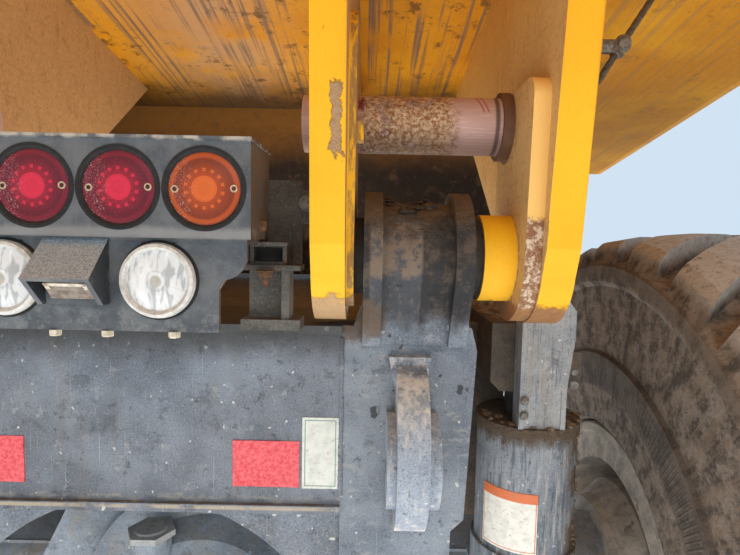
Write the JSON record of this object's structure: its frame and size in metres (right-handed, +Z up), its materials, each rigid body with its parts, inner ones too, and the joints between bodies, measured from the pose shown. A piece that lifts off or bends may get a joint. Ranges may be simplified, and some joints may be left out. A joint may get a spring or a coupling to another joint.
{
  "type": "rear end section of an articulated dump truck",
  "caption": "Tail of a dump truck's rear frame with its driven axle, struts, wheels and lamp unit, and the tail of the tipping body hinged on it.",
  "frame": {"origin": "middle of the bolted splice where this section joins the front of the rear frame, on the splice's face", "axes": "+X to the truck's right, +Y forward, +Z up; the bolts of the splice run along Y"},
  "size_m": [3.572, 2.88, 3.9405],
  "materials": {
    "frame_paint": "dark grey paint under dust",
    "body_paint": "yellow paint, dusty and scratched",
    "axle_paint": "dark grey paint under dried mud",
    "tyre_rubber": "black rubber under brown dust",
    "wheel_paint": "beige paint under brown dust",
    "pin_steel": "rusty steel with mud and paint remnants",
    "rod_steel": "dull steel",
    "lamp_plastic": "charcoal coated steel",
    "lens_red": "red lens",
    "lens_amber": "amber lens",
    "lens_clear": "clear lens in a cream bezel",
    "pad_rubber": "black rubber"
  },
  "bodies": {
    "frame": {"frame_rail_left": "frame_paint", "frame_rail_right": "frame_paint", "splice_flange_left": "frame_paint", "splice_flange_right": "frame_paint", "tail_crossmember": "frame_paint", "mid_crossmember": "frame_paint", "frame_deck": "frame_paint", "pivot_casting_left": "frame_paint", "pivot_casting_right": "frame_paint", "tow_lug_left": "frame_paint", "tow_lug_right": "frame_paint", "strut_outrigger_left": "frame_paint", "strut_outrigger_right": "frame_paint", "rest_pads": "pad_rubber", "link_hangers": "frame_paint", "lower_links": "axle_paint", "top_link": "axle_paint", "strut_barrels": "frame_paint", "strut_rods": "rod_steel", "strut_guards": "frame_paint", "axle_housing": "axle_paint", "diff_cover": "axle_paint", "filler_cap": "axle_paint", "input_flange": "rod_steel", "brake_housing_left": "wheel_paint", "brake_housing_right": "wheel_paint", "lamp_housing": "lamp_plastic", "lamp_lid": "lamp_plastic", "lamp_bracket": "lamp_plastic", "lamp_mounts": "lamp_plastic", "tail_lamps": "lens_red", "turn_lamps": "lens_amber", "reverse_lamps": "lens_clear", "plate_lamp_hood": "lamp_plastic", "plate_lamp_window": "lens_clear"},
    "wheel_left": {"tyre_left": "tyre_rubber", "rim_left": "wheel_paint", "hub_left": "wheel_paint"},
    "wheel_right": {"tyre_right": "tyre_rubber", "rim_right": "wheel_paint", "hub_right": "wheel_paint"},
    "dump_body": {"body_floor": "body_paint", "body_side_left": "body_paint", "body_side_right": "body_paint", "body_sills": "body_paint", "body_bolster": "body_paint", "body_tail_beam": "body_paint", "ear_inner_left": "body_paint", "ear_inner_right": "body_paint", "ear_outer_left": "body_paint", "ear_outer_right": "body_paint", "hinge_pin_left": "pin_steel", "hinge_pin_right": "pin_steel", "hinge_seals": "pad_rubber", "lock_pin_left": "pin_steel", "lock_pin_right": "pin_steel"}
  },
  "joints": [
    {"name": "body_tip", "type": "hinge", "parent": "frame", "child": "dump_body", "pos_m": [0, -1.589, 0.278], "axis": [1, 0, 0], "range_deg": [0, 70]},
    {"name": "wheel_left_spin", "type": "hinge", "parent": "frame", "child": "wheel_left", "pos_m": [-1.411, -1, -0.626], "axis": [1, 0, 0], "continuous": true},
    {"name": "wheel_right_spin", "type": "hinge", "parent": "frame", "child": "wheel_right", "pos_m": [1.411, -1, -0.626], "axis": [1, 0, 0], "continuous": true}
  ]
}
